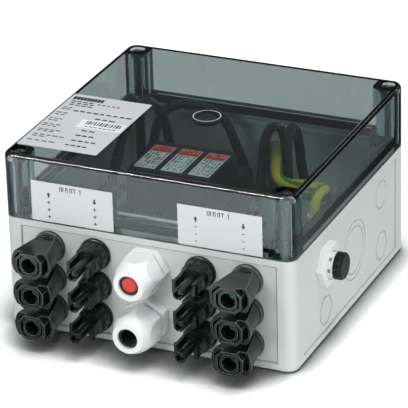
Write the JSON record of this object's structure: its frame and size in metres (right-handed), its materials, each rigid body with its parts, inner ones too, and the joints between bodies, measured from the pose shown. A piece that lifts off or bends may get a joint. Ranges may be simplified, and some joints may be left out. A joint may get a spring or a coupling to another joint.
{
  "type": "solar combiner box",
  "caption": "Compact string combiner box with a smoked see-through lid, panel connectors and cable glands in the front wall, a pressure vent and a rail-mounted surge protector inside.",
  "frame": {"origin": "centre of the base's flat rear face, on which the box lies", "axes": "+Z out of the rear face towards the lid, -Y out of the front wall with the connectors and glands, +X out of the wall with the pressure vent"},
  "size_m": [0.1941, 0.211, 0.1112],
  "materials": {
    "case_grey": "fine moulded texture, satin",
    "lid_smoke": "smoked see-through, polished",
    "seal_black": "soft matt",
    "lid_screw_steel": "cross recess, turned head",
    "rail_zinc": "zinc plated",
    "screw_steel": "zinc plated",
    "surge_black": "fine texture",
    "latch_grey": "smooth",
    "marker_grey": "smooth",
    "surge_label": "printed film",
    "connector_black": "fine moulded texture, satin edges",
    "contact_tin": "tin plated",
    "nut_black": "smooth",
    "gland_grey": "moulded, semi gloss",
    "plug_red": "moulded",
    "vent_black": "knurled",
    "label_white": "printed film",
    "cable_black": "smooth sheath",
    "cable_earth": "yellow sheath with a green stripe",
    "sleeve_pale": "smooth"
  },
  "bodies": {
    "case": {"base_housing": "case_grey", "blanking_plug": "plug_red", "cable_arch": "cable_black", "cable_minus_inner": "cable_black", "cable_minus_outer": "cable_black", "cable_plus_inner": "cable_black", "cable_plus_outer": "cable_black", "cable_wall": "cable_black", "connector_lock_nuts": "nut_black", "connector_washers": "seal_black", "din_rail": "rail_zinc", "earth_lead": "cable_earth", "earth_post": "surge_black", "earth_sleeve": "sleeve_pale", "gland_body_lower": "gland_grey", "gland_body_upper": "gland_grey", "gland_insert_lower": "seal_black", "gland_insert_upper": "seal_black", "gland_lock_nuts": "gland_grey", "input_minus_1": "connector_black", "input_minus_2": "connector_black", "input_minus_3": "connector_black", "input_plus_1": "connector_black", "input_plus_2": "connector_black", "input_plus_3": "connector_black", "output_minus_1": "connector_black", "output_minus_2": "connector_black", "output_minus_3": "connector_black", "output_plus_1": "connector_black", "output_plus_2": "connector_black", "output_plus_3": "connector_black", "plug_contacts": "contact_tin", "rail_screws": "screw_steel", "socket_contacts": "contact_tin", "surge_base": "surge_black", "surge_leads": "cable_black", "surge_marker_strip": "marker_grey", "surge_terminal_screws": "screw_steel", "vent_adapter": "gland_grey", "vent_body": "vent_black", "vent_cap": "vent_black", "wire_ferrules": "contact_tin"},
    "lid": {"lid": "lid_smoke", "lid_gasket": "seal_black", "name_plate": "label_white", "label_plus": "label_white", "label_minus": "label_white"},
    "lid_screw_1": {"lid_screw_1": "lid_screw_steel"},
    "lid_screw_2": {"lid_screw_2": "lid_screw_steel"},
    "lid_screw_3": {"lid_screw_3": "lid_screw_steel"},
    "lid_screw_4": {"lid_screw_4": "lid_screw_steel"},
    "surge_plug_1": {"surge_plug_1": "surge_black", "surge_label_1": "surge_label"},
    "surge_plug_2": {"surge_plug_2": "surge_black", "surge_label_2": "surge_label"},
    "surge_plug_3": {"surge_plug_3": "surge_black", "surge_label_3": "surge_label"},
    "surge_latch": {"surge_latch": "latch_grey"},
    "gland_cap_upper": {"gland_cap_upper": "gland_grey"},
    "gland_cap_lower": {"gland_cap_lower": "gland_grey"}
  },
  "joints": [
    {"name": "lid_lift", "type": "slide", "parent": "case", "child": "lid", "axis": [0, 0, 1], "range_m": [0, 0.06]},
    {"name": "lid_screw_1_turn", "type": "hinge", "parent": "lid", "child": "lid_screw_1", "pos_m": [-0.083, -0.082, 0.105], "axis": [0, 0, 1], "range_deg": [0, 90]},
    {"name": "lid_screw_2_turn", "type": "hinge", "parent": "lid", "child": "lid_screw_2", "pos_m": [-0.083, 0.082, 0.105], "axis": [0, 0, 1], "range_deg": [0, 90]},
    {"name": "lid_screw_3_turn", "type": "hinge", "parent": "lid", "child": "lid_screw_3", "pos_m": [0.083, -0.082, 0.105], "axis": [0, 0, 1], "range_deg": [0, 90]},
    {"name": "lid_screw_4_turn", "type": "hinge", "parent": "lid", "child": "lid_screw_4", "pos_m": [0.083, 0.082, 0.105], "axis": [0, 0, 1], "range_deg": [0, 90]},
    {"name": "surge_plug_1_pull", "type": "slide", "parent": "case", "child": "surge_plug_1", "axis": [0, 0, 1], "range_m": [0, 0.025]},
    {"name": "surge_plug_2_pull", "type": "slide", "parent": "case", "child": "surge_plug_2", "axis": [0, 0, 1], "range_m": [0, 0.025]},
    {"name": "surge_plug_3_pull", "type": "slide", "parent": "case", "child": "surge_plug_3", "axis": [0, 0, 1], "range_m": [0, 0.025]},
    {"name": "surge_latch_pull", "type": "slide", "parent": "case", "child": "surge_latch", "axis": [0, -1, 0], "range_m": [0, 0.004], "stiffness_N_per_m": 100},
    {"name": "gland_cap_upper_turn", "type": "hinge", "parent": "case", "child": "gland_cap_upper", "pos_m": [0, -0.106, 0.0526], "axis": [0, -1, 0], "range_deg": [0, 360]},
    {"name": "gland_cap_lower_turn", "type": "hinge", "parent": "case", "child": "gland_cap_lower", "pos_m": [0, -0.11, 0.0209], "axis": [0, -1, 0], "range_deg": [0, 360]}
  ]
}
